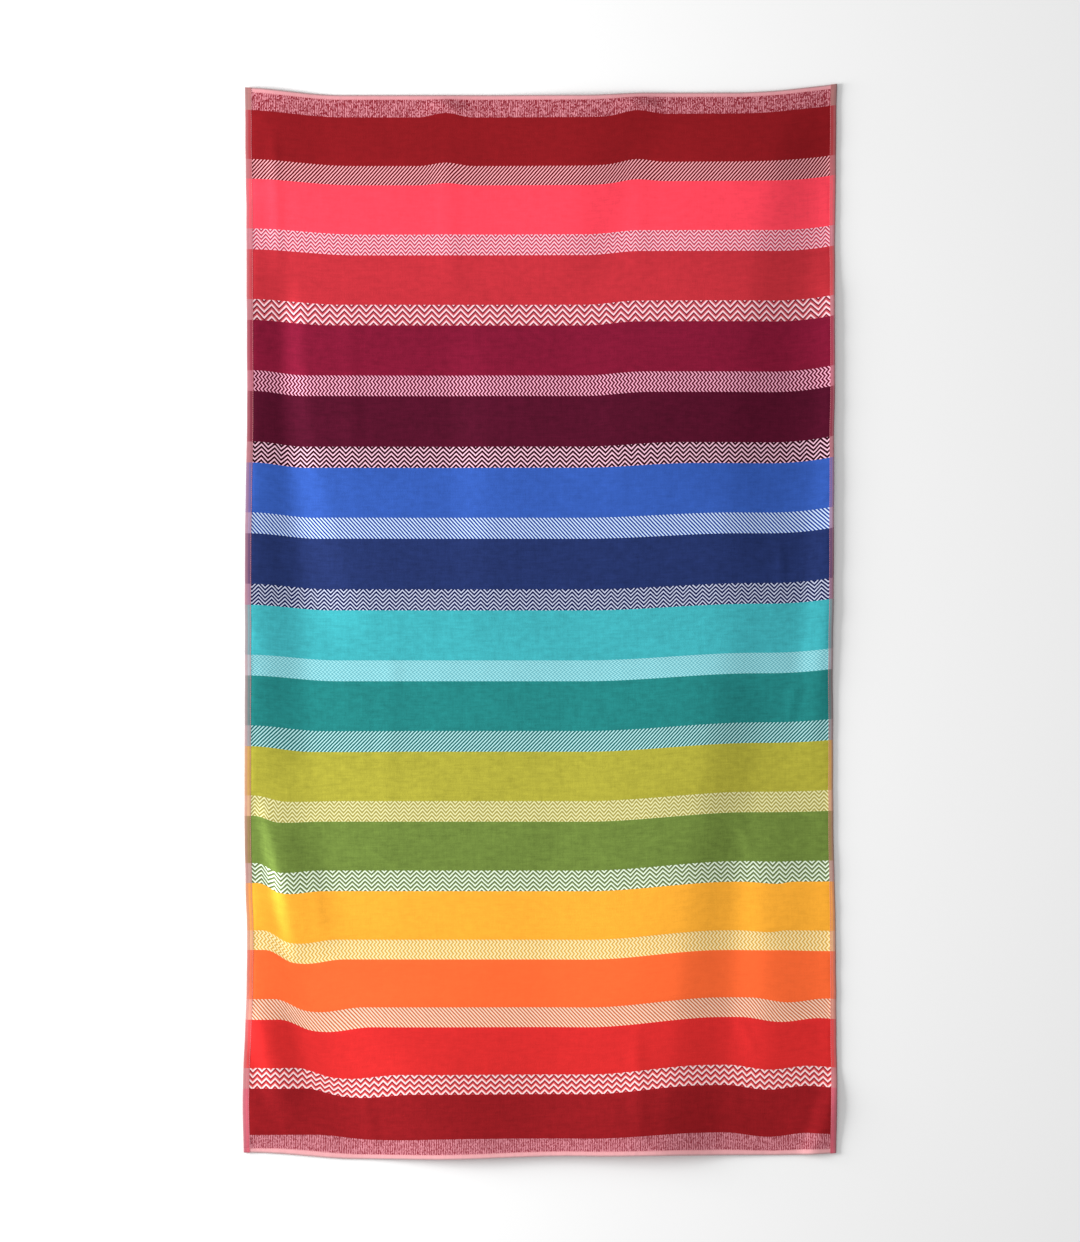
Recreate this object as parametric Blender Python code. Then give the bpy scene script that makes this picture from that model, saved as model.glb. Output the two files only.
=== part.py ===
"""A striped beach towel, laid out on a flat surface.

One sheet of terry towelling with all four edges hemmed. It is woven as fifteen wide velour stripes, each followed
by a narrow patterned one, between two speckled end borders. The cloth lies on the plane z = 0 and rises from it
only in a few low folds, most of them lengthwise.

Units are metres. +X runs across the towel to its right side, +Y towards its top hem and +Z up. The origin is under
the middle of the towel's outline, on the surface that it lies on.

On the flat cloth, a place is (across, along): across is measured from the middle line, positive to the right, and
along from the top hem's edge.
"""

import bmesh
import bpy

# Driving dimensions, in millimetres; MM turns them into metres.
MM = 0.001
FLAT_WIDTH = 1006.0
PILE_THICKNESS = 3.0
SIDE_HEM_WIDTH = 11.0
TOP_HEM_WIDTH = 8.0
FOOT_HEM_WIDTH = 9.0
TOP_BORDER = 29.7
FOOT_BORDER = 26.6
HEM_THICKNESS = 3.6
HEM_LIP = 2.5
LIP_THICKNESS = 2.2
SEAM_THICKNESS = 2.3
SEAM_WIDTH = 2.5
MIDDLE_TO_TOP = 888.0

# Colours of the hems and borders, as sRGB hex.
HEM_COLOUR = "de929a"
BORDER_COLOUR = "be6470"
TERRY_ROUGHNESS = 0.95

# The stripes from the top down: the length of each velour stripe and of the patterned stripe below it.
# The last velour stripe meets the foot border, so no patterned stripe follows it.
STRIPES = (
    # name, velour, patterned, velour colour, patterned colour
    ("dark_red", 82.2, 32.6, "941a20", "bc7078"),
    ("coral", 83.3, 34.8, "fe4a5e", "e795a6"),
    ("rose", 83.9, 34.8, "cc333e", "d48a97"),
    ("maroon", 84.9, 34.6, "881836", "b8748c"),
    ("plum", 85.6, 35.4, "58102a", "a37b8f"),
    ("blue", 84.4, 35.3, "3860bc", "92aad2"),
    ("navy", 85.4, 35.6, "26366c", "8085a6"),
    ("turquoise", 84.4, 35.1, "44b7c0", "91d6de"),
    ("teal", 84.1, 34.9, "268987", "85b8ba"),
    ("lime", 83.4, 34.7, "b9b340", "d2cc8e"),
    ("green", 82.7, 34.8, "758d40", "b9c1a3"),
    ("amber", 82.0, 33.3, "fdb83a", "f4d58d"),
    ("orange", 80.9, 33.2, "fe7139", "ebb196"),
    ("red", 79.9, 32.8, "e53030", "dd878d"),
    ("deep_red", 74.9, 0.0, "9c1c22", "be6470"),
)

# The outline as laid: where the two side edges lie at stations along the towel.
SIDES = (
    # along, left edge, right edge
    (0.0, -500.0, 500.4),
    (270.0, -497.0, 497.0),
    (510.0, -495.4, 496.0),
    (750.0, -498.4, 495.0),
    (1000.0, -498.8, 493.4),
    (1230.0, -500.0, 493.8),
    (1340.0, -498.8, 496.2),
    (1460.0, -495.6, 498.6),
    (1600.0, -499.6, 499.6),
    (1700.0, -503.2, 501.0),
    (1797.0, -502.2, 499.0),
)

# How the stripes climb towards the left side: by lift, in a step as wide as spread round middle, with a dip beyond.
LEFT_CLIMB = (
    # along, lift, middle, spread, dip
    (0.0, 13.5, -431.0, 186.0, 0.0),
    (270.0, 10.0, -406.0, 186.0, 0.0),
    (510.0, 8.5, -448.0, 85.0, 0.0),
    (990.0, 10.0, -423.0, 152.0, 0.0),
    (1230.0, 10.0, -466.0, 41.0, 1.7),
    (1347.0, 15.0, -460.0, 41.0, 3.4),
    (1462.0, 17.0, -433.0, 51.0, 6.8),
    (1577.0, 15.0, -409.0, 61.0, 8.5),
    (1655.0, 13.5, -375.0, 68.0, 8.5),
    (1763.0, 10.0, -338.0, 101.0, 3.4),
    (1797.0, 11.0, -400.0, 186.0, 0.0),
)

# How they climb towards the right side: a shoulder that is full at reach, and a last rise to the edge.
RIGHT_CLIMB_START = 76.0
RIGHT_EDGE_START = 389.0
RIGHT_CLIMB = (
    # along, shoulder, reach, edge rise
    (0.0, 4.2, 186.0, 14.4),
    (37.0, 5.9, 186.0, 12.7),
    (270.0, 6.8, 169.0, 10.0),
    (510.0, 6.8, 186.0, 11.8),
    (750.0, 9.3, 346.0, 10.0),
    (990.0, 13.5, 372.0, 7.6),
    (1230.0, 16.0, 355.0, 2.5),
    (1462.0, 16.0, 300.0, -1.7),
    (1577.0, 17.0, 300.0, -3.4),
    (1690.0, 15.0, 270.0, -5.0),
    (1763.0, 10.0, 270.0, -3.4),
    (1797.0, 6.8, 253.0, 3.4),
)

# The lengthwise folds. A crest runs from start to end along the towel and bows through three places across it.
# Rise and fall are the widths of its left and right flanks, each given at its start and at its end.
FOLDS = (
    # name, start, end, across (start, midway, end), height, rise, fall, fade (start, end)
    ("left_hem_curl", 180.0, 1330.0, (-504.0, -503.0, -490.0), 8.5, (40.0, 40.0), (70.0, 130.0), (220.0, 260.0)),
    ("left_ridge", 300.0, 1010.0, (-406.0, -366.0, -230.0), 9.0, (30.0, 115.0), (360.0, 360.0), (130.0, 260.0)),
    ("left_swell", 330.0, 950.0, (-88.0, -84.0, -76.0), 4.5, (75.0, 75.0), (170.0, 170.0), (200.0, 300.0)),
    ("left_streak", 1180.0, 1500.0, (-474.0, -437.0, -408.0), 8.0, (24.0, 30.0), (65.0, 120.0), (110.0, 180.0)),
    ("corner_ridge", 1510.0, 1797.0, (-494.0, -452.0, -400.0), 5.5, (32.0, 40.0), (58.0, 70.0), (90.0, 160.0)),
    ("foot_swell", 1480.0, 1797.0, (-260.0, -215.0, -115.0), 13.5, (110.0, 205.0), (330.0, 260.0), (240.0, 0.0)),
    ("top_swell", -60.0, 380.0, (110.0, 66.0, 8.0), 4.5, (220.0, 130.0), (160.0, 60.0), (0.0, 200.0)),
    ("right_ridge", -40.0, 1010.0, (418.0, 325.0, 294.0), 10.0, (400.0, 380.0), (110.0, 130.0), (160.0, 320.0)),
    ("right_swell", 420.0, 760.0, (175.0, 172.0, 168.0), 7.0, (330.0, 330.0), (210.0, 210.0), (150.0, 150.0)),
    ("right_lower_ridge", 780.0, 1797.0, (330.0, 252.0, 200.0), 9.0, (280.0, 240.0), (110.0, 115.0), (300.0, 0.0)),
    ("right_hem_curl", 240.0, 1200.0, (504.0, 503.0, 456.0), 4.0, (46.0, 46.0), (30.0, 40.0), (170.0, 220.0)),
    ("right_crease", 1180.0, 1750.0, (385.0, 382.0, 386.0), 3.5, (55.0, 70.0), (85.0, 100.0), (130.0, 140.0)),
    ("foot_right_swell", 1650.0, 1797.0, (165.0, 155.0, 145.0), 9.0, (230.0, 230.0), (280.0, 280.0), (90.0, 0.0)),
    ("corner_flick", 1650.0, 1797.0, (508.0, 488.0, 462.0), 4.5, (28.0, 28.0), (40.0, 40.0), (70.0, 0.0)),
)

# Two small tucks in the top border, which pull the stripes below them up.
TUCK_CREST = 22.0
TUCK_LENGTH = 44.0
TUCKS = (
    # name, across, half width, pull, reach down, height
    ("left_tuck", -162.0, 46.0, 8.0, 215.0, 4.0),
    ("right_tuck", 162.0, 50.0, 7.0, 215.0, 4.0),
)

# Columns of the mesh: narrow ones where the sides fold, wide ones over the flat middle.
COLUMNS = (
    # from, to, count
    (-489.0, -300.0, 13),
    (-300.0, 180.0, 11),
    (180.0, 489.0, 15),
)


def smooth(share):
    """Rises from 0 to 1 without a corner at either end."""
    share = min(max(share, 0.0), 1.0)
    return share * share * (3.0 - 2.0 * share)


def between(start, end, share):
    return start + (end - start) * share


def at_station(rows, along):
    """The columns of a table at a place along the towel, on a smooth curve through its rows."""
    last = len(rows) - 1
    place = min(max(along, rows[0][0]), rows[last][0])
    i = max(k for k in range(last) if rows[k][0] <= place)
    before, low, high, after = rows[max(i - 1, 0)], rows[i], rows[i + 1], rows[min(i + 2, last)]
    step = high[0] - low[0]
    t = (place - low[0]) / step
    values = []
    for column in range(1, len(low)):
        leave = (high[column] - before[column]) / (high[0] - before[0]) * step
        arrive = (after[column] - low[column]) / (after[0] - low[0]) * step
        start, end = low[column], high[column]
        values.append(
            start * (1 - t) ** 2 * (1 + 2 * t)
            + end * t**2 * (3 - 2 * t)
            + leave * t * (1 - t) ** 2
            - arrive * t**2 * (1 - t)
        )
    return values


def bowed(three, share):
    """A path across the towel that passes its middle value halfway."""
    start, middle, end = three
    bow = middle - (start + end) / 2
    return between(start, end, share) + 4 * bow * share * (1 - share)


def fold_height(fold, across, along):
    """How high one lengthwise fold lifts the cloth at a place."""
    _, start, end, crest, height, rise, fall, fade = fold
    if not start <= along <= end:
        return 0.0
    share = (along - start) / (end - start)
    strength = 1.0
    if fade[0]:
        strength *= smooth((along - start) / fade[0])
    if fade[1]:
        strength *= smooth((end - along) / fade[1])
    offset = across - bowed(crest, share)
    flank = between(*rise, share) if offset < 0 else between(*fall, share)
    return height * strength * smooth(1 - abs(offset) / flank)


def tuck_shape(tuck, across, along):
    """How far one tuck pulls the cloth up the towel, and how high it lifts it."""
    _, middle, half_width, pull, reach, height = tuck
    near = smooth(1 - abs(across - middle) / half_width)
    gather = smooth(along / TUCK_LENGTH) * smooth(1 - (along - TUCK_LENGTH) / reach)
    crest = smooth(1 - abs(along - TUCK_CREST) / TUCK_CREST)
    return pull * near * gather, height * near * crest


def stripe_climb(across, along):
    """How far the cloth at a place lies above its stripe's level in the middle of the towel."""
    lift, middle, spread, dip = at_station(LEFT_CLIMB, along)
    climb = lift * smooth(0.5 - (across - middle) / spread)
    climb -= dip * smooth(1 - abs(across - middle - 0.9 * spread) / (1.3 * spread))
    shoulder, reach, edge = at_station(RIGHT_CLIMB, along)
    climb += shoulder * smooth((across - RIGHT_CLIMB_START) / (reach - RIGHT_CLIMB_START))
    past = max(across - RIGHT_EDGE_START, 0.0) / (FLAT_WIDTH / 2 - RIGHT_EDGE_START)
    return climb + edge * past**2


def laid(across, along):
    """Where a place on the flat cloth lies: x, y and the height of its underside."""
    left, right = at_station(SIDES, along)
    x = between(left, right, across / FLAT_WIDTH + 0.5)
    y = MIDDLE_TO_TOP - along + stripe_climb(across, along)
    z = sum(fold_height(fold, across, along) for fold in FOLDS)
    for tuck in TUCKS:
        pull, lift = tuck_shape(tuck, across, along)
        y += pull
        z += lift
    return x, y, z


def stripe_rows():
    """The woven parts from the top down, as (name, length, colour, mesh rows)."""
    rows = [
        ("top_hem_lip", HEM_LIP, HEM_COLOUR, 1),
        ("top_hem", TOP_HEM_WIDTH - HEM_LIP, HEM_COLOUR, 1),
        ("top_seam", SEAM_WIDTH, BORDER_COLOUR, 1),
        ("top_border", TOP_BORDER - SEAM_WIDTH, BORDER_COLOUR, 1),
    ]
    for name, velour, patterned, velour_colour, patterned_colour in STRIPES:
        rows.append((name, velour, velour_colour, 2))
        if patterned:
            rows.append((name + "_patterned", patterned, patterned_colour, 1))
    rows += [
        ("foot_border", FOOT_BORDER - SEAM_WIDTH, BORDER_COLOUR, 1),
        ("foot_seam", SEAM_WIDTH, BORDER_COLOUR, 1),
        ("foot_hem", FOOT_HEM_WIDTH - HEM_LIP, HEM_COLOUR, 1),
        ("foot_hem_lip", HEM_LIP, HEM_COLOUR, 1),
    ]
    return rows


def column_places():
    """The mesh columns across the towel: hem lip, hem, seam, body, and the same again on the right."""
    edge = FLAT_WIDTH / 2
    left = [-edge, -edge + HEM_LIP, -edge + SIDE_HEM_WIDTH]
    body = [COLUMNS[0][0]]
    for start, end, count in COLUMNS:
        body += [between(start, end, (i + 1) / count) for i in range(count)]
    return left + body + [-place for place in reversed(left)]


def row_places():
    """The mesh rows along the towel, and the material name of the strip below each."""
    places, materials = [0.0], []
    for name, length, _, count in stripe_rows():
        start = places[-1]
        places += [start + length * (i + 1) / count for i in range(count)]
        materials += [name] * count
    return places, materials


def edge_thickness(inset, hem_width):
    """The cloth's thickness at a distance in from one edge: a rounded lip, the hem, its sewn seam, the pile."""
    profile = (
        (0.0, LIP_THICKNESS),
        (HEM_LIP, HEM_THICKNESS),
        (hem_width - SEAM_WIDTH, HEM_THICKNESS),
        (hem_width, SEAM_THICKNESS),
        (hem_width + SEAM_WIDTH, PILE_THICKNESS),
    )
    for (start, thin), (end, thick) in zip(profile, profile[1:]):
        if inset <= end:
            return between(thin, thick, (inset - start) / (end - start))
    return PILE_THICKNESS


def thickness(across, along, length):
    """The cloth's thickness at a place; a lip or a seam goes on through the hem that it crosses."""
    profiles = (
        edge_thickness(FLAT_WIDTH / 2 - abs(across), SIDE_HEM_WIDTH),
        edge_thickness(along, TOP_HEM_WIDTH),
        edge_thickness(length - along, FOOT_HEM_WIDTH),
    )
    thinnest = min(profiles)
    return thinnest if thinnest < PILE_THICKNESS else max(profiles)


def linear(hex_colour):
    """An sRGB hex colour as linear RGBA."""
    channels = [int(hex_colour[i : i + 2], 16) / 255 for i in (0, 2, 4)]
    rgb = [c / 12.92 if c <= 0.04045 else ((c + 0.055) / 1.055) ** 2.4 for c in channels]
    return (*rgb, 1.0)


def terry_material(name, hex_colour):
    material = bpy.data.materials.new("terry_" + name)
    material.use_nodes = True
    shader = material.node_tree.nodes["Principled BSDF"]
    shader.inputs["Base Color"].default_value = linear(hex_colour)
    shader.inputs["Roughness"].default_value = TERRY_ROUGHNESS
    shader.inputs["Metallic"].default_value = 0.0
    material.diffuse_color = linear(hex_colour)
    return material


def build_towel():
    columns = column_places()
    rows, strip_names = row_places()
    length = rows[-1]

    mesh = bpy.data.meshes.new("towel")
    slots = {}
    for name, _, colour, _ in stripe_rows():
        slots[name] = len(slots)
        mesh.materials.append(terry_material(name, colour))

    sheet = bmesh.new()
    under, over = [], []
    for along in rows:
        lower, upper = [], []
        for across in columns:
            x, y, z = laid(across, along)
            lower.append(sheet.verts.new((x * MM, y * MM, z * MM)))
            upper.append(sheet.verts.new((x * MM, y * MM, (z + thickness(across, along, length)) * MM)))
        under.append(lower)
        over.append(upper)
    for i, name in enumerate(strip_names):
        for j in range(len(columns) - 1):
            top = sheet.faces.new((over[i][j], over[i + 1][j], over[i + 1][j + 1], over[i][j + 1]))
            bottom = sheet.faces.new((under[i][j], under[i][j + 1], under[i + 1][j + 1], under[i + 1][j]))
            top.material_index = bottom.material_index = slots[name]

    open_edges = [edge for edge in sheet.edges if edge.is_boundary]
    bmesh.ops.bridge_loops(sheet, edges=open_edges)
    bmesh.ops.recalc_face_normals(sheet, faces=sheet.faces)

    # The origin goes under the middle of the outline.
    xs = [vert.co.x for vert in sheet.verts]
    ys = [vert.co.y for vert in sheet.verts]
    middle = ((min(xs) + max(xs)) / 2, (min(ys) + max(ys)) / 2, 0.0)
    bmesh.ops.translate(sheet, verts=sheet.verts, vec=[-value for value in middle])

    sheet.to_mesh(mesh)
    sheet.free()
    mesh.shade_smooth()
    towel = bpy.data.objects.new("towel", mesh)
    bpy.context.collection.objects.link(towel)
    return towel


def main():
    for old in list(bpy.data.objects):
        bpy.data.objects.remove(old, do_unlink=True)
    build_towel()


main()
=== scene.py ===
# %% [markdown]
# # A striped beach towel
#
# This lesson dresses one large terry towel, spread out on a plain floor and seen from straight above. The towel is
# woven in one piece: fifteen wide velour stripes with a narrow patterned one after each but the last, between two
# speckled end borders, with all four edges hemmed. The solid that the checks used is already packed. Here it is
# replaced by a finer sheet that lies in the same folds.
#
# A small helper reads the size of the solid's box, so that the finer sheet can be set into it further on.

import bpy
import numpy as np
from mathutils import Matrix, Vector, noise


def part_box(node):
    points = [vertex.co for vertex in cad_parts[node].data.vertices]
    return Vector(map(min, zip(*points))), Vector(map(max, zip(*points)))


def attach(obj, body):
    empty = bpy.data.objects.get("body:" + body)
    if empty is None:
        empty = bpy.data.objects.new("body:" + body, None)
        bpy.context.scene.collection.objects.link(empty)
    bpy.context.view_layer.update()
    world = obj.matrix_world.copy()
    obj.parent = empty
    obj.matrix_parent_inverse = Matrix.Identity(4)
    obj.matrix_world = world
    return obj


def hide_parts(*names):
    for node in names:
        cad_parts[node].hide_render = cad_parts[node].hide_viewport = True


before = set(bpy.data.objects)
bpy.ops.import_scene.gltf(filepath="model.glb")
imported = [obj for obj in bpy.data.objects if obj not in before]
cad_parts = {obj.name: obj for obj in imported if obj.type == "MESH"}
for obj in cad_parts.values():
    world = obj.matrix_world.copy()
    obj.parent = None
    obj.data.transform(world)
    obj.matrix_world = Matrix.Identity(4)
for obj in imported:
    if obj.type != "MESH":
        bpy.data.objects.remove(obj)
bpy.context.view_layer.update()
bpy.ops.object.select_all(action="DESELECT")

# %% [markdown]
# ## The cloth before it is laid
#
# A weaver thinks of a towel flat. A place on the flat cloth is (across, along): across runs from the middle line to
# the right, along runs down from the top hem's edge. All the sizes below are millimetres on the flat cloth, and MM
# turns them into Blender's metres. Each row of the table is one velour stripe and the patterned stripe below it.
# Colours are noted as a picture shows them, two hexadecimal digits for each of red, green and blue.

# %% Sizes and colours of the weave
MM = 0.001
FLAT_WIDTH = 1006.0
PILE = 3.0
SIDE_HEM = 11.0
TOP_HEM = 8.0
FOOT_HEM = 9.0
TOP_BORDER = 29.7
FOOT_BORDER = 26.6

STRIPES = (
    # name, velour, patterned (widths), velour colour, light yarn, dark yarn, how far the nap shows
    ("dark_red", 82.2, 32.6, "921920", "ffbcc4", "5a020c", 0.72),
    ("coral", 83.3, 34.8, "fe4a5e", "ffd6e4", "a83c54", 0.6),
    ("rose", 83.9, 34.8, "cc333e", "ffe0e8", "761a2e", 0.73),
    ("maroon", 84.9, 34.6, "881836", "ffc0da", "560822", 1.1),
    ("plum", 85.6, 35.4, "58102a", "ffd8ec", "28020e", 1.35),
    ("blue", 84.4, 35.3, "3860bc", "e2f6ff", "223e98", 0.9),
    ("navy", 85.4, 35.6, "26366c", "dee4f9", "0c124c", 1.3),
    ("turquoise", 84.4, 35.1, "44b7c0", "acf0f6", "6cb8c4", 1.05),
    ("teal", 84.1, 34.9, "268987", "c8f8f9", "1c6868", 1.2),
    ("lime", 83.4, 34.7, "b9b340", "f9f6bc", "aea256", 1.05),
    ("green", 82.7, 34.8, "758d40", "f9fbf0", "5e6c48", 1.3),
    ("amber", 82.0, 33.3, "fdb83a", "fff4b8", "e2b458", 0.55),
    ("orange", 80.9, 33.2, "fe7139", "ffe4cc", "cc7850", 0.37),
    ("red", 79.9, 32.8, "e53030", "ffe8e8", "9c1c2c", 0.57),
    ("deep_red", 74.9, 0.0, "9c1c22", "", "", 0.95),
)
BORDER_DARK = "8e1a2a"
BORDER_LIGHT = "f4a2ae"
HEM_WARP = "e48285"
# painted shade: a grey mixed into each side hem's lip and outer part, where the hem rolls over
PAINTED_HEM_SHADE = "847272"
SIDE_HEM_ENDS = {"top_border": "b87c7a", "deep_red": "e26a7c", "foot_border": "e26a7c"}
END_HEMS = {
    # strip: colour near its seam, colour at its lip, which is greyer there as painted shade
    "top_hem": ("eaa2a8", "c4989a"),
    "foot_hem": ("f8b4b8", "d8a8aa"),
}
print(len(STRIPES), "velour stripes,", sum(1 for row in STRIPES if row[2]), "patterned stripes")

# %% [markdown]
# The colours are noted in sRGB. Blender's shaders count light, so each colour is turned into linear values first. The
# studio light below is a little stronger than plain white, which keeps the floor white; the cloth's own colours are
# lowered by the same amount, EXPOSURE. A channel at FULL or more is the exception: it was brighter than the picture can
# show, so its yarn sends back all the light it can, and stays bright in the shade of a fold.

# %% Colour helpers
EXPOSURE = 1.12
FULL = 0.98


def channels(hex_colour):
    return np.array([int(hex_colour[i : i + 2], 16) / 255 for i in (0, 2, 4)])


def linear(srgb):
    srgb = np.clip(srgb, 0.0, 1.0)
    light = np.where(srgb <= 0.04045, srgb / 12.92, ((srgb + 0.055) / 1.055) ** 2.4)
    light = np.where(srgb < FULL, light / EXPOSURE, light)
    return tuple(float(value) for value in light) + (1.0,)


def blended(first, second, share):
    """Two sRGB colours of yarn, mixed as the eye mixes fine threads."""
    return channels(first) * (1 - share) + channels(second) * share


print("the coral velour in linear light:", np.round(linear(channels(STRIPES[1][3])), 3))


# %% [markdown]
# The strips of the cloth come from that table: two hems, two borders and the stripes between them. Each strip knows
# where it starts, so the mesh rows, the materials and the pile's relief all read the same list.

# %% Strips from the top hem to the foot hem
def make_strips():
    parts = [("top_hem", "hem", TOP_HEM), ("top_border", "border", TOP_BORDER)]
    for name, velour, patterned, *_ in STRIPES:
        parts.append((name, "velour", velour))
        if patterned:
            parts.append((name, "patterned", patterned))
    parts += [("foot_border", "border", FOOT_BORDER), ("foot_hem", "hem", FOOT_HEM)]
    strips, start = [], 0.0
    for name, kind, length in parts:
        strips.append({"name": name, "kind": kind, "start": start, "end": start + length})
        start += length
    return strips


STRIPS = make_strips()
FLAT_LENGTH = STRIPS[-1]["end"]
print(len(STRIPS), "strips on a flat cloth", FLAT_WIDTH, "by", round(FLAT_LENGTH, 1), "mm")

# %% [markdown]
# ## How it lies
#
# Nobody spreads a towel perfectly flat. Its sides wander in and out, and the stripes climb a little towards both
# sides. A cloth simulation could drape a sheet, but these shapes were already there when the towel was laid, so they
# are listed one row for each section. They are the solid's own, except that the climb at the left side of the foot
# and in the top right corner is fitted a few millimetres closer to the real towel.

# %% The outline and the climb of the stripes
MIDDLE_TO_TOP = 888.0
SIDES = (
    # along, left edge, right edge
    (0.0, -500.0, 500.4),
    (270.0, -497.0, 497.0),
    (510.0, -495.4, 496.0),
    (750.0, -498.4, 495.0),
    (1000.0, -498.8, 493.4),
    (1230.0, -500.0, 493.8),
    (1340.0, -498.8, 496.2),
    (1460.0, -495.6, 498.6),
    (1600.0, -499.6, 499.6),
    (1700.0, -503.2, 501.0),
    (1797.0, -502.2, 499.0),
)
LEFT_CLIMB = (
    # along, lift, middle, spread, dip
    (0.0, 13.5, -431.0, 186.0, 0.0),
    (270.0, 10.0, -406.0, 186.0, 0.0),
    (510.0, 8.5, -448.0, 85.0, 0.0),
    (990.0, 10.0, -423.0, 152.0, 0.0),
    (1230.0, 10.0, -466.0, 41.0, 1.7),
    (1347.0, 14.0, -462.0, 41.0, 4.5),
    (1462.0, 16.5, -448.0, 50.0, 7.5),
    (1577.0, 13.0, -417.0, 60.0, 8.5),
    (1655.0, 11.0, -384.0, 68.0, 7.5),
    (1763.0, 5.5, -338.0, 95.0, 3.0),
    (1797.0, 11.0, -400.0, 186.0, 0.0),
)
LEFT_DIP_PLACE = 0.9
LEFT_DIP_REACH = 1.3
RIGHT_CLIMB_START = 76.0
RIGHT_EDGE_START = 389.0
RIGHT_CLIMB = (
    # along, shoulder, reach, edge rise
    (0.0, 4.2, 186.0, 12.4),
    (37.0, 5.9, 186.0, 12.7),
    (270.0, 6.8, 169.0, 10.0),
    (510.0, 6.8, 186.0, 11.8),
    (750.0, 9.3, 346.0, 10.0),
    (990.0, 13.5, 372.0, 7.6),
    (1230.0, 16.0, 355.0, 2.5),
    (1462.0, 16.0, 300.0, -1.7),
    (1577.0, 17.0, 300.0, -3.4),
    (1690.0, 15.0, 270.0, -5.0),
    (1763.0, 10.0, 270.0, -3.4),
    (1797.0, 6.8, 253.0, 3.4),
)

print("the outline has", len(SIDES), "sections")

# %% [markdown]
# Low folds run down the towel's length, and two small tucks gather its top border. One row is one fold: where its crest
# runs, how high it stands, and how wide its two flanks are. These tables are the same as the solid's.

# %% The folds and tucks
FOLDS = (
    # name, start, end, crest across (start, midway, end), height, width of rise, width of fall, fade (start, end)
    ("left_hem_curl", 180.0, 1330.0, (-504.0, -503.0, -490.0), 8.5, (40.0, 40.0), (70.0, 130.0), (220.0, 260.0)),
    ("left_ridge", 300.0, 1010.0, (-406.0, -366.0, -230.0), 9.0, (30.0, 115.0), (360.0, 360.0), (130.0, 260.0)),
    ("left_swell", 330.0, 950.0, (-88.0, -84.0, -76.0), 4.5, (75.0, 75.0), (170.0, 170.0), (200.0, 300.0)),
    ("left_streak", 1180.0, 1500.0, (-474.0, -437.0, -408.0), 8.0, (24.0, 30.0), (65.0, 120.0), (110.0, 180.0)),
    ("corner_ridge", 1510.0, 1797.0, (-494.0, -452.0, -400.0), 5.5, (32.0, 40.0), (58.0, 70.0), (90.0, 160.0)),
    ("foot_swell", 1480.0, 1797.0, (-260.0, -215.0, -115.0), 13.5, (110.0, 205.0), (330.0, 260.0), (240.0, 0.0)),
    ("top_swell", -60.0, 380.0, (110.0, 66.0, 8.0), 4.5, (220.0, 130.0), (160.0, 60.0), (0.0, 200.0)),
    ("right_ridge", -40.0, 1010.0, (418.0, 325.0, 294.0), 10.0, (400.0, 380.0), (110.0, 130.0), (160.0, 320.0)),
    ("right_swell", 420.0, 760.0, (175.0, 172.0, 168.0), 7.0, (330.0, 330.0), (210.0, 210.0), (150.0, 150.0)),
    ("right_lower_ridge", 780.0, 1797.0, (330.0, 252.0, 200.0), 9.0, (280.0, 240.0), (110.0, 115.0), (300.0, 0.0)),
    ("right_hem_curl", 240.0, 1200.0, (504.0, 503.0, 456.0), 4.0, (46.0, 46.0), (30.0, 40.0), (170.0, 220.0)),
    ("right_crease", 1180.0, 1750.0, (385.0, 382.0, 386.0), 3.5, (55.0, 70.0), (85.0, 100.0), (130.0, 140.0)),
    ("foot_right_swell", 1650.0, 1797.0, (165.0, 155.0, 145.0), 9.0, (230.0, 230.0), (280.0, 280.0), (90.0, 0.0)),
    ("corner_flick", 1650.0, 1797.0, (508.0, 488.0, 462.0), 4.5, (28.0, 28.0), (40.0, 40.0), (70.0, 0.0)),
)
TUCK_CREST = 22.0
TUCK_LENGTH = 44.0
TUCKS = (
    # name, across, half width, pull, reach down, height
    ("left_tuck", -162.0, 46.0, 8.0, 215.0, 4.0),
    ("right_tuck", 162.0, 50.0, 7.0, 215.0, 4.0),
)
print(len(FOLDS), "folds and", len(TUCKS), "tucks")

# %% [markdown]
# Every fold is worked out by the same short functions. `smooth` rises without a corner, so a fold made from it has a
# round crest and meets the flat cloth gently. They all take whole arrays, because numpy lays a hundred thousand points
# in a moment where a Python loop would take minutes.

# %% Functions that lay the cloth
def smooth(share):
    share = np.clip(share, 0.0, 1.0)
    return share * share * (3.0 - 2.0 * share)


def between(start, end, share):
    return start + (end - start) * share


def at_stations(rows, along):
    """A table's columns at places along the towel, on a smooth curve through its rows."""
    table = np.array(rows)
    place = np.clip(along, table[0, 0], table[-1, 0])
    i = np.clip(np.searchsorted(table[:, 0], place, side="right") - 1, 0, len(table) - 2)
    low, high = table[i], table[i + 1]
    before, after = table[np.maximum(i - 1, 0)], table[np.minimum(i + 2, len(table) - 1)]
    step = (high - low)[:, :1]
    t = (place[:, None] - low[:, :1]) / step
    leave = (high - before) / (high - before)[:, :1] * step
    arrive = (after - low) / (after - low)[:, :1] * step
    curve = low * (1 - t) ** 2 * (1 + 2 * t) + high * t**2 * (3 - 2 * t)
    curve += leave * t * (1 - t) ** 2 - arrive * t**2 * (1 - t)
    return curve[:, 1:].T


def fold_height(fold, across, along):
    _, start, end, (first, middle, last), height, rise, fall, fade = fold
    share = (along - start) / (end - start)
    strength = ((share >= 0) & (share <= 1)).astype(float)
    if fade[0]:
        strength *= smooth((along - start) / fade[0])
    if fade[1]:
        strength *= smooth((end - along) / fade[1])
    bow = middle - (first + last) / 2
    crest = between(first, last, share) + 4 * bow * share * (1 - share)
    flank = np.where(across < crest, between(*rise, share), between(*fall, share))
    return height * strength * smooth(1 - np.abs(across - crest) / np.maximum(flank, 1.0))


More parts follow.
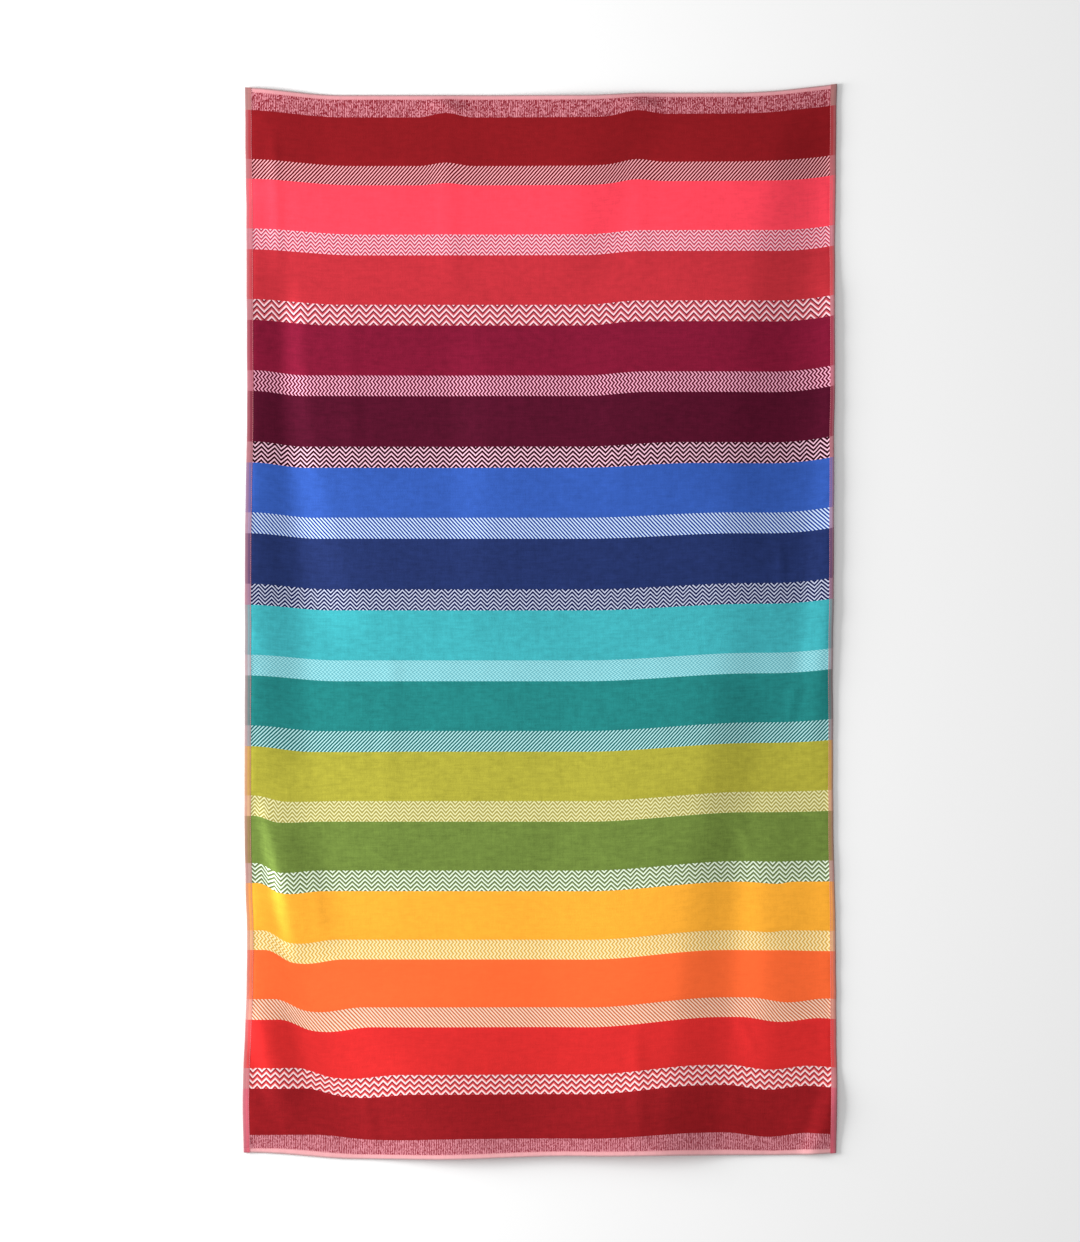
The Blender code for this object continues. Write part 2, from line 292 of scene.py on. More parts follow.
def tuck_shape(tuck, across, along):
    _, middle, half_width, pull, reach, height = tuck
    near = smooth(1 - np.abs(across - middle) / half_width)
    gather = smooth(along / TUCK_LENGTH) * smooth(1 - (along - TUCK_LENGTH) / reach)
    return pull * near * gather, height * near * smooth(1 - np.abs(along - TUCK_CREST) / TUCK_CREST)


def stripe_climb(across, along):
    lift, middle, spread, dip = at_stations(LEFT_CLIMB, along)
    climb = lift * smooth(0.5 - (across - middle) / spread)
    past_middle = across - middle - LEFT_DIP_PLACE * spread
    climb -= dip * smooth(1 - np.abs(past_middle) / (LEFT_DIP_REACH * spread))
    shoulder, reach, edge = at_stations(RIGHT_CLIMB, along)
    climb += shoulder * smooth((across - RIGHT_CLIMB_START) / (reach - RIGHT_CLIMB_START))
    past = np.maximum(across - RIGHT_EDGE_START, 0.0) / (FLAT_WIDTH / 2 - RIGHT_EDGE_START)
    return climb + edge * past**2


edge_and_middle = np.array([-FLAT_WIDTH / 2, 0.0, FLAT_WIDTH / 2])
print("climb at mid length:", np.round(stripe_climb(edge_and_middle, np.full(3, FLAT_LENGTH / 2)), 1), "mm")

# %% [markdown]
# The solid stops at its main folds. Real cloth adds smaller things, of up to five millimetres: soft broad folds that
# hardly stand up, short creases where it was folded for storage, a slight swell and sag all over, and puckers along the
# side hems where the thread draws them in. They are what makes light move over a towel, so they belong in the shape and
# not in a bump.

# %% Soft folds and creases
LOW_FOLDS = (
    # as the folds, but too low and soft for the solid
    ("beside_left_hem", 330.0, 1290.0, (-488.0, -488.0, -480.0), 4.0, (75.0, 75.0), (92.0, 92.0), (250.0, 300.0)),
    ("beside_left_foot", 1300.0, 1797.0, (-488.0, -488.0, -488.0), 4.0, (75.0, 75.0), (96.0, 96.0), (130.0, 60.0)),
    ("beside_top_left", -60.0, 210.0, (-462.0, -462.0, -462.0), 3.2, (90.0, 90.0), (110.0, 110.0), (0.0, 110.0)),
    ("middle", 310.0, 1000.0, (-20.0, -5.0, 10.0), 5.0, (270.0, 270.0), (340.0, 340.0), (220.0, 220.0)),
    ("beside_right_hem", 420.0, 1120.0, (400.0, 396.0, 392.0), 2.5, (300.0, 300.0), (60.0, 60.0), (150.0, 150.0)),
)
CREASES = (
    # name, from (across, along), to (across, along), height, half width
    ("band_top_left", (-455.0, 40.0), (-448.0, 330.0), 1.1, 15.0),
    ("beside_left_ridge", (-330.0, 300.0), (-318.0, 700.0), 0.8, 24.0),
    ("below_left_tuck", (-162.0, 60.0), (-152.0, 360.0), 0.7, 26.0),
    ("right_of_middle", (118.0, 380.0), (130.0, 760.0), 0.5, 30.0),
    ("below_right_tuck", (162.0, 60.0), (170.0, 340.0), 0.6, 28.0),
    ("right_fine", (410.0, 740.0), (414.0, 860.0), 1.3, 9.0),
    ("right_slant", (446.0, 985.0), (424.0, 1085.0), 1.6, 14.0),
    ("right_slant_low", (330.0, 1225.0), (372.0, 1310.0), 1.5, 13.0),
    ("right_slant_foot", (326.0, 1560.0), (372.0, 1640.0), 0.9, 15.0),
    ("foot_middle", (160.0, 1555.0), (172.0, 1797.0), 1.2, 22.0),
    ("foot_left", (-300.0, 1640.0), (-280.0, 1797.0), 1.0, 18.0),
    ("left_low", (-395.0, 1240.0), (-372.0, 1450.0), 0.5, 16.0),
    ("left_calm", (-250.0, 900.0), (-262.0, 1250.0), 0.7, 26.0),
)


def crease_height(crease, across, along):
    """A straight crease, which fades over the first and the last third of its length."""
    _, (x0, y0), (x1, y1), height, half_width = crease
    length = np.hypot(x1 - x0, y1 - y0)
    share = ((across - x0) * (x1 - x0) + (along - y0) * (y1 - y0)) / length**2
    aside = ((across - x0) * (y1 - y0) - (along - y0) * (x1 - x0)) / length
    ends = smooth(share * 3) * smooth((1 - share) * 3)
    return height * ends * smooth(1 - np.abs(aside) / half_width)


print(len(LOW_FOLDS), "soft folds and", len(CREASES), "creases")

# %% [markdown]
# Swells, ripples and puckers have no places of their own, so they come from smooth noise. It is the same each time
# that the script runs; each use takes its own layer of it, or a swell and a pucker would rise at the same spots.

# %% Swells, ripples and puckers
NOISE_LAYERS = {"swell": 0.3, "ripple": 7.1, "pucker": 3.7, "edge": 5.5}
SWELL_HEIGHT = 1.3
SWELL_SIZE = (150.0, 240.0)
RIPPLE_HEIGHT = 0.5
RIPPLE_SIZE = (46.0, 60.0)
PUCKER_HEIGHT = 0.7
PUCKER_SIZE = (30.0, 34.0)
PUCKER_REACH = 34.0
PUCKER_SIDE = 90.0


def soft_noise(across, along, size, layer):
    points = np.stack([across / size[0], along / size[1]], axis=1)
    return np.array([noise.noise(Vector((x, y, NOISE_LAYERS[layer]))) for x, y in points])


def small_relief(across, along):
    swell = 0.5 + 0.5 * soft_noise(across, along, SWELL_SIZE, "swell")
    ripple = 0.5 + 0.5 * soft_noise(across, along, RIPPLE_SIZE, "ripple")
    relief = SWELL_HEIGHT * swell + RIPPLE_HEIGHT * ripple
    inset = FLAT_WIDTH / 2 - np.abs(across)
    wave = soft_noise(np.sign(across) * PUCKER_SIDE, along, PUCKER_SIZE, "pucker")
    relief += PUCKER_HEIGHT * (0.5 + wave) * smooth(1 - inset / PUCKER_REACH)
    relief += sum(fold_height(fold, across, along) for fold in LOW_FOLDS)
    return relief + sum(crease_height(crease, across, along) for crease in CREASES)


# %% [markdown]
# Cloth also shifts within its own plane, which shows in its stripes. Along the middle of the towel the right hem rolls
# under a little, so from above it looks narrower. Near the foot and in the top right corner the cloth has been drawn a
# few millimetres along its length. Such a pull has the form of a fold that lies flat, so it is noted as one.

# %% Rolled hem and drawn cloth
HEM_ROLL = (
    # along, how much narrower the right hem looks
    (0.0, 0.0),
    (150.0, 0.4),
    (400.0, 3.2),
    (1150.0, 3.2),
    (1450.0, 1.2),
    (1797.0, 0.4),
)
ROLL_REACH = 70.0
DRIFTS = (
    # as the folds, but the height is how far the cloth is drawn towards the foot
    ("right_foot", 1440.0, 1800.0, (475.0, 395.0, 395.0), 8.0, (60.0, 80.0), (70.0, 70.0), (100.0, 36.0)),
    ("right_middle", 1290.0, 1470.0, (416.0, 400.0, 385.0), 3.5, (60.0, 60.0), (26.0, 26.0), (60.0, 60.0)),
    ("foot_middle", 1752.0, 1900.0, (60.0, 60.0, 60.0), -6.5, (260.0, 260.0), (230.0, 230.0), (44.0, 0.0)),
    ("top_right_corner", -60.0, 190.0, (450.0, 450.0, 450.0), -5.0, (120.0, 120.0), (110.0, 110.0), (0.0, 140.0)),
)


def rolled(across, along):
    """Places across the cloth, moved towards the right edge where its hem has rolled under."""
    roll = np.interp(along, *zip(*HEM_ROLL))
    inset = FLAT_WIDTH / 2 - across
    hem = inset * (SIDE_HEM - roll) / SIDE_HEM
    beside = inset - roll * np.clip((ROLL_REACH - inset) / (ROLL_REACH - SIDE_HEM), 0, 1)
    return FLAT_WIDTH / 2 - np.where(inset < SIDE_HEM, hem, beside)


# %% [markdown]
# One function puts all of this together. It is given places on the flat cloth and says where they lie; the mesh and
# the sewing both ask it, so they can't come apart.

# %% Where the cloth lies
EDGE_WANDER = 0.8
EDGE_WANDER_SIZE = (50.0, 55.0)
EDGE_SIDE = 200.0


def laid(across, along):
    """Where places on the flat cloth lie, in millimetres: x, y and the height of the underside."""
    across = rolled(across, along)
    left, right = at_stations(SIDES, along)
    wander = EDGE_WANDER * soft_noise(np.sign(across) * EDGE_SIDE, along, EDGE_WANDER_SIZE, "edge")
    share = across / FLAT_WIDTH + 0.5
    x = between(left, right, share) + wander * (2 * share - 1) ** 2
    y = MIDDLE_TO_TOP - along + stripe_climb(across, along)
    z = sum(fold_height(fold, across, along) for fold in FOLDS) + small_relief(across, along)
    for tuck in TUCKS:
        pull, lift = tuck_shape(tuck, across, along)
        y = y + pull
        z = z + lift
    y = y - sum(fold_height(drift, across, along) for drift in DRIFTS)
    return x, y, z


corners = np.array([-1, 1, 1, -1]) * FLAT_WIDTH / 2, np.array([0, 0, 1, 1]) * FLAT_LENGTH
print("corners at", [tuple(float(round(value, 1)) for value in corner) for corner in zip(*laid(*corners))], "mm")

# %% [markdown]
# ## The mesh of the cloth
#
# The sheet starts as one grid primitive. Its lines are drawn together where the cloth has something to show: over the
# rounded lip and the sewn seam of each hem, and on both sides of every stripe's edge. Elsewhere they stand about 7 mm
# apart, which keeps the piece well under 200,000 triangles once it has a back.

# %% Where the grid's lines go
HEM_LINES = (0.0, 0.3, 1.6, 3.2, 5.2, 7.0, 8.6, 9.6, 10.4, 11.0, 12.0, 13.5, 16.5)
BODY_LINE_GAP = 6.6
STRIPE_LINE_GAP = 8.2
BORDER_LINE_GAP = 5.0
BORDER_TO_HEM = 3.0
STRIPE_EDGE = 2.5


def line_places(start, end, gap):
    return list(np.linspace(start, end, max(int(round((end - start) / gap)), 1) + 1))


def column_places():
    left = [-FLAT_WIDTH / 2 + inset for inset in HEM_LINES]
    body = line_places(left[-1], -left[-1], BODY_LINE_GAP)
    return np.array(left + body[1:-1] + [-place for place in reversed(left)])


def row_places():
    hem_lines = np.array(HEM_LINES)
    top = hem_lines * TOP_HEM / SIDE_HEM
    foot = FLAT_LENGTH - hem_lines[::-1] * FOOT_HEM / SIDE_HEM
    rows = list(top) + list(foot)
    for strip in STRIPS[1:-1]:
        start, end = strip["start"], strip["end"]
        if strip["kind"] == "border":
            start, end = max(start, top[-1] + BORDER_TO_HEM), min(end, foot[0] - BORDER_TO_HEM)
            rows += line_places(start, end, BORDER_LINE_GAP)
        else:
            rows += [start] + line_places(start + STRIPE_EDGE, end - STRIPE_EDGE, STRIPE_LINE_GAP) + [end]
    return np.unique(np.round(rows, 4))


columns, rows = column_places(), row_places()
print("grid", len(columns), "by", len(rows), "lines,", 4 * (len(columns) - 1) * (len(rows) - 1), "triangles")

# %% [markdown]
# `primitive_grid_add` makes an even grid with as many lines. Its points are then moved to the uneven lines, still
# flat, and every face corner keeps its place on the cloth in a UV map named "cloth". The weaves read that map, in
# metres, so their threads bend with the folds.

# %% The flat grid and its cloth map
def flat_grid(name, columns, rows):
    bpy.ops.mesh.primitive_grid_add(x_subdivisions=len(columns) - 1, y_subdivisions=len(rows) - 1, size=1.0)
    sheet = bpy.context.object
    sheet.name = sheet.data.name = name
    mesh = sheet.data
    flat = np.empty(len(mesh.vertices) * 3)
    mesh.vertices.foreach_get("co", flat)
    flat = flat.reshape(-1, 3)
    column = np.rint((flat[:, 0] + 0.5) * (len(columns) - 1)).astype(int)
    row = np.rint((0.5 - flat[:, 1]) * (len(rows) - 1)).astype(int)
    flat[:, 0], flat[:, 1], flat[:, 2] = columns[column] * MM, -rows[row] * MM, 0.0
    mesh.vertices.foreach_set("co", flat.ravel())
    while mesh.uv_layers:
        mesh.uv_layers.remove(mesh.uv_layers[0])
    corner = np.empty(len(mesh.loops), int)
    mesh.loops.foreach_get("vertex_index", corner)
    places = mesh.uv_layers.new(name="cloth")
    places.data.foreach_set("uv", (flat[corner, :2] * (1, -1)).ravel())
    mesh.update()
    return sheet


cloth = flat_grid("towel_cloth", columns, rows)
print("flat grid of", len(cloth.data.vertices), "points with the map", cloth.data.uv_layers[0].name)

# %% [markdown]
# Extruding the whole grid upwards gives it a second layer and a rim in one step, which a Solidify modifier would do
# too; here the two layers are shaped separately straight afterwards.

# %% A second layer for thickness
bpy.ops.object.mode_set(mode="EDIT")
bpy.ops.mesh.select_all(action="SELECT")
bpy.ops.mesh.extrude_region_move(TRANSFORM_OT_translate={"value": (0.0, 0.0, PILE * MM)})
bpy.ops.mesh.select_all(action="SELECT")
bpy.ops.mesh.normals_make_consistent(inside=False)
bpy.ops.object.mode_set(mode="OBJECT")
print("closed sheet with", len(cloth.data.polygons), "faces")

# %% [markdown]
# A hem is the cloth's own edge turned over twice and sewn down, so it is a little thicker, round at its lip, and drawn
# in to a shallow groove where the thread runs. The velour stands proud of the patterned stripes, whose loops are
# clipped shorter, and rounds off at its edge. One profile across a hem and one relief along the towel say it all.

# %% The cloth's section
HEM_PROFILE = (
    # inset from the edge, height of the upper face, lift of the underside
    (0.0, 2.5, 0.7),
    (0.3, 2.95, 0.15),
    (1.6, 3.2, 0.0),
    (3.2, 3.25, 0.0),
    (7.0, 3.25, 0.0),
    (8.6, 3.2, 0.0),
    (9.6, 3.1, 0.0),
    (10.4, 3.0, 0.0),
    (11.0, 2.95, 0.0),
    (12.0, 2.95, 0.0),
    (13.5, 3.0, 0.0),
    (16.5, 3.0, 0.0),
)
VELOUR_CROWN = 0.25
VELOUR_SHOULDER = 0.1
VELOUR_EDGE_DROP = 0.2
PATTERNED_DROP = 0.55
PATTERNED_STEP = 0.01
BORDER_DROP = 0.45
BORDER_SLOPE = 8.0
SEAM_TO_BODY = 4.0


def hem_section(inset, hem):
    profile = np.array(HEM_PROFILE)
    place = inset * SIDE_HEM / hem
    return np.interp(place, profile[:, 0], profile[:, 1]), np.interp(place, profile[:, 0], profile[:, 2])


def pile_relief(along):
    """How far the pile stands above or below its usual height, by the strip that it is in."""
    places, reliefs = [], []
    for strip in STRIPS:
        start, end = strip["start"], strip["end"]
        if strip["kind"] == "velour":
            places += [start, start + STRIPE_EDGE, (start + end) / 2, end - STRIPE_EDGE, end]
            reliefs += [-VELOUR_EDGE_DROP, VELOUR_SHOULDER, VELOUR_CROWN, VELOUR_SHOULDER, -VELOUR_EDGE_DROP]
        elif strip["kind"] == "patterned":
            places += [start + PATTERNED_STEP, end - PATTERNED_STEP]
            reliefs += [-PATTERNED_DROP] * 2
        elif strip["kind"] == "border":
            places += [start + BORDER_SLOPE, end - BORDER_SLOPE]
            reliefs += [-BORDER_DROP] * 2
    return np.interp(along, places, reliefs)


def cloth_section(across, along):
    """Thickness of the cloth and lift of its underside at places on it."""
    parts = [
        hem_section(FLAT_WIDTH / 2 - np.abs(across), SIDE_HEM),
        hem_section(along, TOP_HEM),
        hem_section(FLAT_LENGTH - along, FOOT_HEM),
    ]
    tops = np.stack([top for top, _ in parts])
    lifts = np.stack([lift for _, lift in parts])
    thin, thick = tops.min(axis=0), tops.max(axis=0)
    body = smooth((FLAT_WIDTH / 2 - np.abs(across) - SIDE_HEM) / SEAM_TO_BODY)
    top = np.where(thin < PILE, thin, thick)
    return top + pile_relief(along) * body, lifts.max(axis=0)


middle_of = {strip["kind"]: (strip["start"] + strip["end"]) / 2 for strip in STRIPS}
thickness, _ = cloth_section(np.zeros(len(middle_of)), np.array(list(middle_of.values())))
print("cloth's thickness:", dict(zip(middle_of, thickness.round(2).tolist())), "mm")

# %% [markdown]
# Now the two layers are laid: each point takes its place from the flat cloth, and the upper layer is lifted by the
# cloth's thickness. The sheet is then set into the solid's box: seen from above both have the same middle, and both
# lie on the same plane.

# %% Lay the sheet
def lay_sheet(sheet):
    mesh = sheet.data
    flat = np.empty(len(mesh.vertices) * 3)
    mesh.vertices.foreach_get("co", flat)
    flat = flat.reshape(-1, 3) / MM
    across, along, upper = flat[:, 0], -flat[:, 1], flat[:, 2] > PILE / 2
    x, y, z = laid(across, along)
    thickness, lift = cloth_section(across, along)
    z = z + np.where(upper, thickness, lift)
    placed = np.stack([x, y, z], axis=1) * MM
    low, high = (np.array(corner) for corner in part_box("towel"))
    shift = (low + high - placed.min(axis=0) - placed.max(axis=0)) / 2
    shift[2] = low[2] - placed[:, 2].min()
    placed += shift
    mesh.vertices.foreach_set("co", placed.ravel())
    mesh.update()
    return across, along, upper, shift


flat_across, flat_along, is_upper, SHIFT = lay_sheet(cloth)
print("moved into the solid's box by", np.round(SHIFT / MM, 2), "mm")

# %% [markdown]
# ## Threads as node groups
#
# Each effect below is a small group of shader nodes with named inputs, used by several materials. A group gives out
# colours, masks and heights, and the material itself holds the Principled shader. `wire` is a short way to add a node,
# set it and connect it, and `maths` is the same for one step of a sum, so that the groups read like sums.

# %% Node helpers
NOISE_ROUGHNESS = 0.55


def wire(tree, kind, values=(), **settings):
    """Adds a node, sets its properties, and feeds its inputs with sockets or plain values."""
    node = tree.nodes.new(kind)
    for name, value in settings.items():
        setattr(node, name, value)
    for key, value in dict(values).items():
        socket = node.inputs[key]
        if isinstance(value, bpy.types.NodeSocket):
            tree.links.new(value, socket)
        else:
            socket.default_value = value
    return node


def maths(tree, operation, *values):
    return wire(tree, "ShaderNodeMath", enumerate(values), operation=operation).outputs[0]


def new_group(name, inputs, outputs):
    tree = bpy.data.node_groups.new(name, "ShaderNodeTree")
    for label, kind, value in inputs:
        socket = tree.interface.new_socket(label, in_out="INPUT", socket_type=kind)
        if value is not None:
            socket.default_value = value
    for label, kind in outputs:
        tree.interface.new_socket(label, in_out="OUTPUT", socket_type=kind)
    return tree, tree.nodes.new("NodeGroupInput").outputs, tree.nodes.new("NodeGroupOutput").inputs


def stretched_noise(tree, place, scale, detail=2.0):
    """Noise on the cloth, with so many bumps a metre across and along."""
    moved = wire(tree, "ShaderNodeMapping", {"Vector": place, "Scale": (*scale, 1.0)}).outputs[0]
    values = {"Vector": moved, "Scale": 1.0, "Detail": detail, "Roughness": NOISE_ROUGHNESS}
    return wire(tree, "ShaderNodeTexNoise", values).outputs["Fac"]


def centred(tree, value):
    """Noise runs from zero to one; this moves it to either side of zero."""
    return maths(tree, "SUBTRACT", value, 0.5)


def shaded(tree, colour, factor):
    """A colour made lighter or darker by a factor near one."""
    return wire(tree, "ShaderNodeVectorMath", {0: colour, "Scale": factor}, operation="SCALE").outputs[0]


# %% [markdown]
# Velour is terry whose loops have been shorn, so it shows a soft nap and no loops. Rows of weft give it faint streaks
# across, the warp gives fainter ones down, the pile leans in small patches, and a hand that has stroked it leaves wide
# clouds. Noises at all those sizes, each only a few percent strong, say so better than one strong noise. A bright
# red or orange hides the lean of its pile and a green shows it, so Showing strengthens or weakens them all.

# %% Group: velour nap
NAP_NOISES = (
    # noise, scale across and along, detail, the input that sets its strength, its share of that
    ("weft", (34.0, 380.0), 2.0, "Threads", 1.0),
    ("warp", (300.0, 26.0), 2.0, "Threads", 0.6),
    ("nap", (440.0, 540.0), 3.0, "Threads", 1.0),
    ("leaning", (70.0, 105.0), 2.0, "Patches", 1.0),
    ("clouds", (9.0, 13.0), 3.0, "Clouds", 1.0),
)
NAP_IN_HEIGHT = 0.7
WEFT_IN_HEIGHT = 0.3
SMOOTHEST_NAP = 0.82
CLOUDS_IN_ROUGHNESS = 0.12


def velour_group():
    tree, given, result = new_group(
        "velour_nap",
        [
            ("Colour", "NodeSocketColor", (0.5, 0.5, 0.5, 1.0)),
            ("Place", "NodeSocketVector", None),
            ("Showing", "NodeSocketFloat", 1.0),
            ("Threads", "NodeSocketFloat", 0.3),
            ("Patches", "NodeSocketFloat", 0.4),
            ("Clouds", "NodeSocketFloat", 0.24),
        ],
        [("Colour", "NodeSocketColor"), ("Height", "NodeSocketFloat"), ("Roughness", "NodeSocketFloat")],
    )
    texture, factor = {}, 1.0
    for name, scale, detail, strength, share in NAP_NOISES:
        texture[name] = stretched_noise(tree, given["Place"], scale, detail)
        strong = maths(tree, "MULTIPLY", maths(tree, "MULTIPLY", given[strength], share), given["Showing"])
        factor = maths(tree, "MULTIPLY_ADD", centred(tree, texture[name]), strong, factor)
    tree.links.new(shaded(tree, given["Colour"], factor), result["Colour"])
    weft = maths(tree, "MULTIPLY", texture["weft"], WEFT_IN_HEIGHT)
    tree.links.new(maths(tree, "MULTIPLY_ADD", texture["nap"], NAP_IN_HEIGHT, weft), result["Height"])
    roughness = maths(tree, "MULTIPLY_ADD", texture["clouds"], CLOUDS_IN_ROUGHNESS, SMOOTHEST_NAP)
    tree.links.new(roughness, result["Roughness"])
    return tree


velour_nap = velour_group()
print("velour nap:", len(velour_nap.nodes), "nodes")

# %% [markdown]
# The patterned stripes are all one idea: a line of pale yarn that repeats. Straight lines on a slant make a twill, a
# line that swings up and down makes a chevron, and the same line stood upright makes a herringbone. So one group draws
# them all. It measures how far a place is along the repeat, lets a ping-pong wave push that to and fro, and turns the
# result into two masks: the pale line, and a dark one close below it. A little noise keeps the yarns from being ruler
# straight.

# %% Group: zigzag yarn
LINE_SOFTNESS = 0.1
YARN_WOBBLE = 1.4
YARN_WOBBLE_SCALE = (95.0, 95.0)
YARN_HEIGHT = 0.6
GRAIN_HEIGHT = 0.4
GRAIN_SCALE = (900.0, 900.0)


def soft_line(tree, turns, share, shift):
    """A soft-edged line that fills a share of each turn."""
    wave = maths(tree, "PINGPONG", maths(tree, "SUBTRACT", turns, shift), 0.5)
    edge = maths(tree, "SUBTRACT", 1.0, share)
    low, high = maths(tree, "SUBTRACT", edge, LINE_SOFTNESS), maths(tree, "ADD", edge, LINE_SOFTNESS)
    values = {"Value": maths(tree, "MULTIPLY", wave, 2.0), "From Min": low, "From Max": high}
    return wire(tree, "ShaderNodeMapRange", values, interpolation_type="SMOOTHSTEP").outputs[0]


def zigzag_group():
    tree, given, result = new_group(
        "zigzag_yarn",
        [
            ("Place", "NodeSocketVector", None),
            ("Pitch", "NodeSocketFloat", 6.0),
            ("Swing", "NodeSocketFloat", 8.0),
            ("Repeat", "NodeSocketFloat", 16.0),
            ("Slant", "NodeSocketFloat", 0.0),
            ("Upright", "NodeSocketFloat", 0.0),
            ("Light share", "NodeSocketFloat", 0.5),
            ("Dark share", "NodeSocketFloat", 0.5),
        ],
        [("Figure", "NodeSocketFloat"), ("Shadow", "NodeSocketFloat"), ("Height", "NodeSocketFloat")],
    )
    place, light, dark = given["Place"], given["Light share"], given["Dark share"]
    parts = wire(tree, "ShaderNodeSeparateXYZ", {0: place}).outputs
    across, along = (maths(tree, "MULTIPLY", part, 1 / MM) for part in parts[:2])
    counted = maths(tree, "MULTIPLY_ADD", maths(tree, "SUBTRACT", across, along), given["Upright"], along)
    crossing = maths(tree, "MULTIPLY_ADD", maths(tree, "SUBTRACT", along, across), given["Upright"], across)
    half = maths(tree, "MULTIPLY", given["Repeat"], 0.5)
    wave = maths(tree, "DIVIDE", maths(tree, "PINGPONG", crossing, half), half)
    pushed = maths(tree, "MULTIPLY_ADD", given["Swing"], wave, counted)
    pushed = maths(tree, "MULTIPLY_ADD", given["Slant"], crossing, pushed)
    wobble = centred(tree, stretched_noise(tree, place, YARN_WOBBLE_SCALE))
    pushed = maths(tree, "MULTIPLY_ADD", wobble, YARN_WOBBLE, pushed)
    turns = maths(tree, "DIVIDE", pushed, given["Pitch"])
    figure = soft_line(tree, turns, light, 0.0)
    shadow = soft_line(tree, turns, dark, maths(tree, "MULTIPLY", maths(tree, "ADD", light, dark), 0.5))
    tree.links.new(figure, result["Figure"])
    tree.links.new(shadow, result["Shadow"])
    grain = maths(tree, "MULTIPLY", stretched_noise(tree, place, GRAIN_SCALE), GRAIN_HEIGHT)
    tree.links.new(maths(tree, "MULTIPLY_ADD", figure, YARN_HEIGHT, grain), result["Height"])
    return tree


zigzag_yarn = zigzag_group()
print("zigzag yarn:", len(zigzag_yarn.nodes), "nodes")

# %% [markdown]
# The end borders are a speckled weave: short dashes of pale yarn in upright ribs. Every rib starts its dashes at
# another place, and a White Noise node draws lots for each dash. Yarns this fine blend in the eye, so most dashes are
# half tones and only some are quite pale or quite dark. At the foot the ribs take turns more strictly, which gives it
# upright lines; the group's Order says how strictly.

# %% Group: speckled ribs
RIB_PITCH = 1.5
DASH_LENGTH = 2.6
DASH_SOFTNESS = 0.35
RIB_WOBBLE = 1.8
RIB_WOBBLE_SCALE = (60.0, 150.0)
DASH_HEIGHT = 0.4


def speckle_group():
    tree, given, result = new_group(
        "speckled_ribs",
        [
            ("Place", "NodeSocketVector", None),
            ("Light share", "NodeSocketFloat", 0.5),
            ("Order", "NodeSocketFloat", 0.2),
        ],
        [("Figure", "NodeSocketFloat"), ("Height", "NodeSocketFloat")],
    )
    place, order = given["Place"], given["Order"]
    parts = wire(tree, "ShaderNodeSeparateXYZ", {0: place}).outputs
    wobble = centred(tree, stretched_noise(tree, place, RIB_WOBBLE_SCALE))
    across = maths(tree, "MULTIPLY_ADD", wobble, RIB_WOBBLE, maths(tree, "MULTIPLY", parts[0], 1 / MM))
    rib = maths(tree, "DIVIDE", across, RIB_PITCH)
    number = maths(tree, "FLOOR", rib)
    start = wire(tree, "ShaderNodeTexWhiteNoise", {"W": number}, noise_dimensions="1D").outputs["Value"]
    dash = maths(tree, "FLOOR", maths(tree, "MULTIPLY_ADD", parts[1], 1 / MM / DASH_LENGTH, start))
    spot = wire(tree, "ShaderNodeCombineXYZ", {0: number, 1: dash}).outputs[0]
    lot = wire(tree, "ShaderNodeTexWhiteNoise", {"Vector": spot}, noise_dimensions="2D").outputs["Value"]
    turn = maths(tree, "MULTIPLY", maths(tree, "FRACT", maths(tree, "MULTIPLY", number, 0.5)), 2.0)
    tone = wire(tree, "ShaderNodeMix", {"Factor": order, "A": lot, "B": turn}).outputs["Result"]
    limit = wire(tree, "ShaderNodeMix", {"Factor": order, "A": given["Light share"], "B": 0.5}).outputs["Result"]
    low, high = maths(tree, "SUBTRACT", limit, DASH_SOFTNESS), maths(tree, "ADD", limit, DASH_SOFTNESS)
    values = {"Value": tone, "From Min": high, "From Max": low}
    figure = wire(tree, "ShaderNodeMapRange", values, interpolation_type="SMOOTHSTEP").outputs[0]
    tree.links.new(figure, result["Figure"])
    height = maths(tree, "MULTIPLY_ADD", figure, DASH_HEIGHT, maths(tree, "PINGPONG", rib, 0.5))
    tree.links.new(height, result["Height"])
    return tree


speckled_ribs = speckle_group()
print("speckled ribs:", len(speckled_ribs.nodes), "nodes")

# %% [markdown]
# Hems are flat weave, with no pile at all: a tight diagonal rib under the eye, slightly uneven where the yarn is
# thicker. The back of the towel keeps its loops, which a Voronoi texture packs like small cushions, with painted shade
# between them and painted light on their tops.

# %% Groups: flat weave and terry loops
HEM_RIB_PITCH = 1.7
HEM_YARN_SCALE = (160.0, 90.0)
HEM_RIB_MIDDLE = 0.25
HEM_YARN_HEIGHT = 0.5
LOOP_SPREAD = 0.85
PAINTED_SHADE_BETWEEN_LOOPS = 0.52
PAINTED_LIGHT_ON_LOOPS = 0.45
PATCH_BRIGHTENS = 0.3
PATCH_SCALE = (24.0, 24.0)


def surface_group(name, own_input):
    """A group that is given a colour, a place and one input of its own, and gives back a colour and a height."""
    colour = ("Colour", "NodeSocketColor", (0.5, 0.5, 0.5, 1.0))
    inputs = [colour, ("Place", "NodeSocketVector", None), own_input]
    return new_group(name, inputs, [("Colour", "NodeSocketColor"), ("Height", "NodeSocketFloat")])


